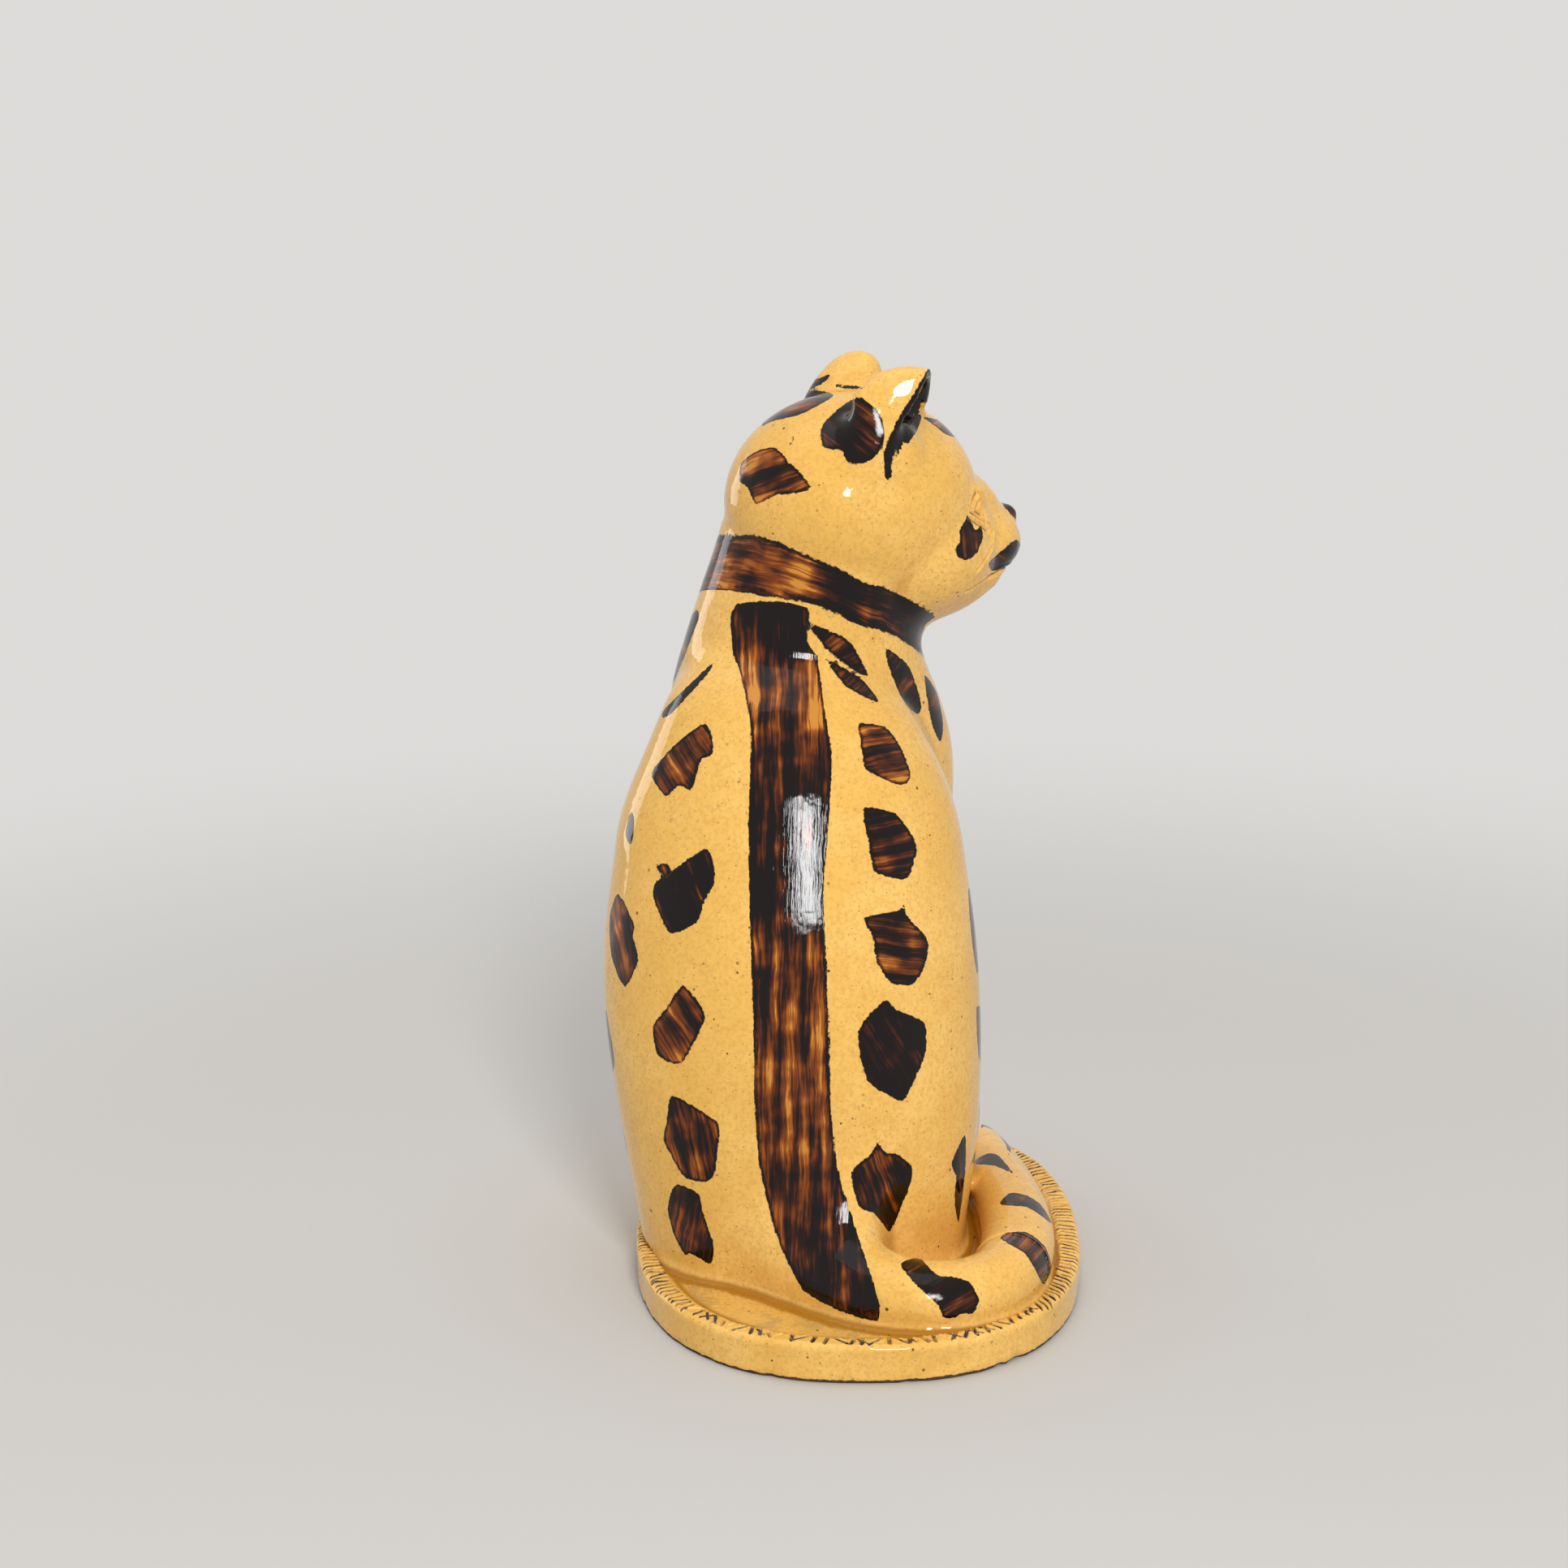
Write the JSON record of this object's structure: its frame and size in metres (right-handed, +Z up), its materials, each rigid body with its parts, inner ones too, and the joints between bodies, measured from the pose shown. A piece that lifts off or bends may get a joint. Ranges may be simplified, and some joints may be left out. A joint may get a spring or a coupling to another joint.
{
  "type": "seated cat figure",
  "caption": "Hollow glazed earthenware cat that sits on an oval hatched plinth, looks round to its right and curls its tail along its side.",
  "frame": {"origin": "centre of the plinth's underside, on the surface that it stands on", "axes": "+Z up; the cat sits facing -Y, with its own right side towards -X and its back towards +Y; its head looks towards -X"},
  "size_m": [0.1881, 0.24, 0.355],
  "materials": {
    "honey_glaze": "glossy",
    "dark_glaze": "glossy"
  },
  "bodies": {
    "root": {"plinth": "honey_glaze", "body": "honey_glaze", "head": "honey_glaze", "ear_left": "honey_glaze", "ear_right": "honey_glaze", "muzzle": "honey_glaze", "lower_jaw": "honey_glaze", "nose": "dark_glaze", "eye_left": "honey_glaze", "eye_right": "honey_glaze", "foreleg_left": "honey_glaze", "foreleg_right": "honey_glaze", "haunch_left": "honey_glaze", "haunch_right": "honey_glaze", "forepaw_left": "honey_glaze", "forepaw_right": "honey_glaze", "hind_paw_left": "honey_glaze", "hind_paw_right": "honey_glaze", "tail": "honey_glaze"}
  },
  "joints": []
}
